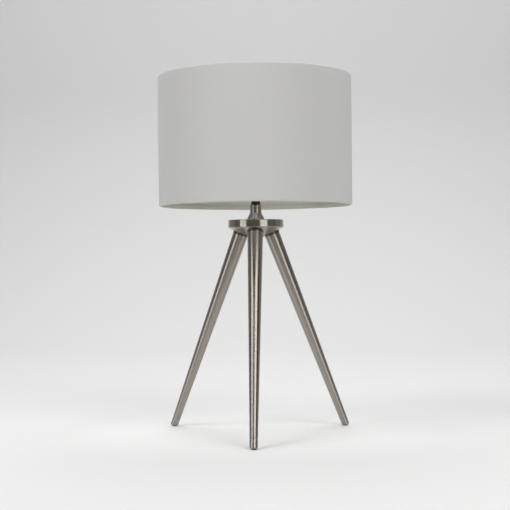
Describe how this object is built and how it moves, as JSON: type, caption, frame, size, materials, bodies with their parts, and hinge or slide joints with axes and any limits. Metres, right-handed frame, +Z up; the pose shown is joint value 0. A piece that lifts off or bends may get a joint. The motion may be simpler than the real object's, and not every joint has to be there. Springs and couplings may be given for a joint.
{
  "type": "tripod table lamp",
  "caption": "Table lamp with a drum shade on three tapered metal legs that splay from a domed round hub.",
  "frame": {"origin": "on the table, in the middle of the three feet, under the lamp's upright axis", "axes": "+Z up along the lamp's axis; -Y towards the front foot; +X right, towards the switch knob"},
  "size_m": [0.3048, 0.3229, 0.5616],
  "materials": {
    "brushed_nickel": "warm brushed nickel plate, satin",
    "plain_steel": "turned steel, unplated",
    "zinc_steel": "zinc plated steel",
    "pad_rubber": "matt black rubber",
    "black_plastic": "black moulded plastic, fine satin",
    "white_moulding": "unglazed white insulator",
    "brass": "bright drawn brass",
    "white_wire": "white powder coat",
    "styrene": "smooth white styrene sheet",
    "shade_fabric": "plain woven off-white fabric laminated to the liner",
    "frosted_glass": "white frosted glass",
    "bulb_metal": "bright pressed metal",
    "black_glass": "black vitreous insulator"
  },
  "bodies": {
    "stand": {"centre_contact": "brass", "collar_grub_screw": "zinc_steel", "cord_bush": "black_plastic", "foot_pad_front": "pad_rubber", "foot_pad_left": "pad_rubber", "foot_pad_right": "pad_rubber", "foot_tip_front": "brushed_nickel", "foot_tip_left": "brushed_nickel", "foot_tip_right": "brushed_nickel", "hub": "brushed_nickel", "lampholder_body": "black_plastic", "lampholder_cap": "black_plastic", "leg_front": "brushed_nickel", "leg_left": "brushed_nickel", "leg_plug_front": "plain_steel", "leg_plug_left": "plain_steel", "leg_plug_right": "plain_steel", "leg_right": "brushed_nickel", "leg_studs": "zinc_steel", "neck": "brushed_nickel", "pipe_nut": "zinc_steel", "pipe_washer": "zinc_steel", "screw_shell": "brass", "switch_block": "white_moulding", "threaded_pipe": "zinc_steel"},
    "shade": {"shade_fitter_ring": "white_wire", "shade_arms": "white_wire", "shade_bottom_ring": "white_wire", "shade_top_ring": "white_wire", "shade_liner": "styrene", "shade_cover": "shade_fabric"},
    "shade_clamp": {"shade_nut": "black_plastic"},
    "bulb": {"bulb_globe": "frosted_glass", "bulb_cap": "bulb_metal", "bulb_insulator": "black_glass", "bulb_tip": "bulb_metal"},
    "switch": {"switch_knob": "black_plastic", "switch_shaft": "brass"}
  },
  "joints": [
    {"name": "shade_turn", "type": "hinge", "parent": "stand", "child": "shade", "pos_m": [0, 0, 0.39101], "axis": [0, 0, 1], "continuous": true},
    {"name": "shade_nut_turn", "type": "hinge", "parent": "stand", "child": "shade_clamp", "pos_m": [0, 0, 0.39261], "axis": [0, 0, 1], "continuous": true},
    {"name": "bulb_turn", "type": "hinge", "parent": "stand", "child": "bulb", "pos_m": [0, 0, 0.39151], "axis": [0, 0, 1], "continuous": true},
    {"name": "switch_turn", "type": "hinge", "parent": "stand", "child": "switch", "pos_m": [0.024, 0, 0.38021], "axis": [1, 0, 0], "continuous": true}
  ]
}
